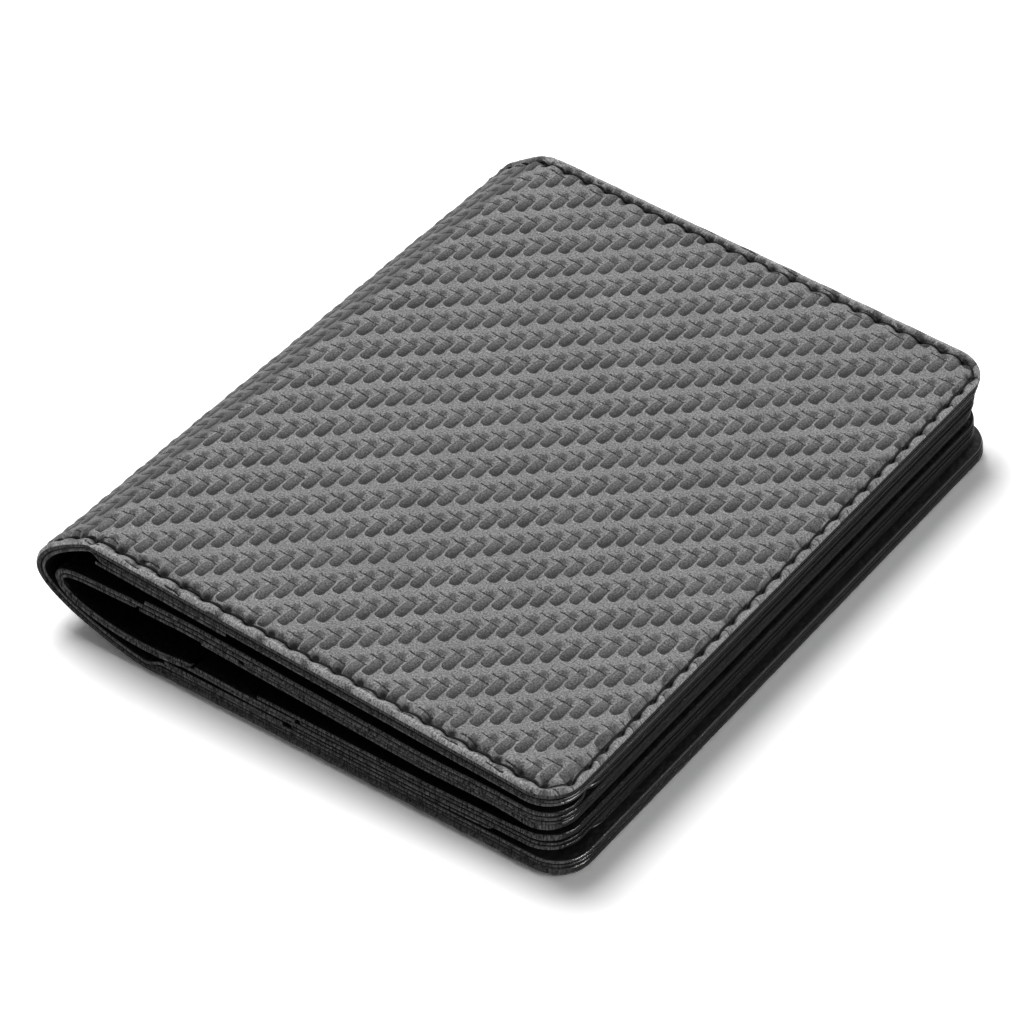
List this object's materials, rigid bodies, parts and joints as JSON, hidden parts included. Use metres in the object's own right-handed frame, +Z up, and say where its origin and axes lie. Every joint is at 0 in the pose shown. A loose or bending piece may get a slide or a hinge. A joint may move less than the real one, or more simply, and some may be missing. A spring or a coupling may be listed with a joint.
{
  "type": "folding card and note wallet",
  "caption": "Compact folding wallet in carbon-weave embossed leather: two stitched covers on a rounded spine, a note compartment open at one end and card pockets in both halves.",
  "frame": {"origin": "centre of the closed wallet's footprint, on the surface that it lies on", "axes": "+Z up, X from the spine (-X) to the open edge (+X), Y along the spine with the open end of the note compartment at -Y"},
  "size_m": [0.0828, 0.1, 0.0175],
  "materials": {
    "weave_leather": "grey leather embossed with a twill carbon weave, satin coated",
    "stiffener": "pressed fibre board",
    "lining": "black woven lining",
    "panel_leather": "black split leather, painted edges",
    "pocket_leather": "black grained leather, semi-gloss",
    "seam_thread": "black polyester sewing thread"
  },
  "bodies": {
    "rear": {"rear_cover": "weave_leather", "rear_board": "stiffener", "rear_lining": "lining", "rear_inner_panel": "panel_leather", "rear_tee_pocket": "pocket_leather", "rear_card_pocket": "pocket_leather", "rear_cover_thread": "seam_thread", "rear_pocket_thread": "seam_thread", "inner_fold_backing": "panel_leather", "inner_fold_face": "pocket_leather", "rear_note_pocket": "pocket_leather"},
    "spine_rear": {"spine_rear_leather": "weave_leather", "spine_rear_lining": "lining", "spine_rear_thread": "seam_thread"},
    "spine_front": {"spine_front_leather": "weave_leather", "spine_front_lining": "lining", "spine_front_thread": "seam_thread"},
    "front": {"front_cover": "weave_leather", "front_board": "stiffener", "front_lining": "lining", "front_inner_panel": "panel_leather", "front_tee_pocket": "pocket_leather", "front_card_pocket": "pocket_leather", "front_cover_thread": "seam_thread", "front_pocket_thread": "seam_thread", "front_note_pocket": "pocket_leather"}
  },
  "joints": [
    {"name": "rear_crease", "type": "hinge", "parent": "rear", "child": "spine_rear", "pos_m": [-0.0238, 0, 0], "axis": [0, -1, 0], "range_deg": [0, 26.7]},
    {"name": "centre_fold", "type": "hinge", "parent": "spine_rear", "child": "spine_front", "pos_m": [-0.0414, 0, 0.0088], "axis": [0, -1, 0], "range_deg": [0, 111.2], "deforming": ["inner_fold_backing", "inner_fold_face"]},
    {"name": "front_crease", "type": "hinge", "parent": "spine_front", "child": "front", "pos_m": [-0.0318, 0, 0.0175], "axis": [0, -1, 0], "range_deg": [0, 45.7]}
  ],
  "couplings": [
    {"joint": "rear_crease", "follows": "centre_fold", "ratio": 0.2388},
    {"joint": "front_crease", "follows": "centre_fold", "ratio": 0.4092}
  ]
}
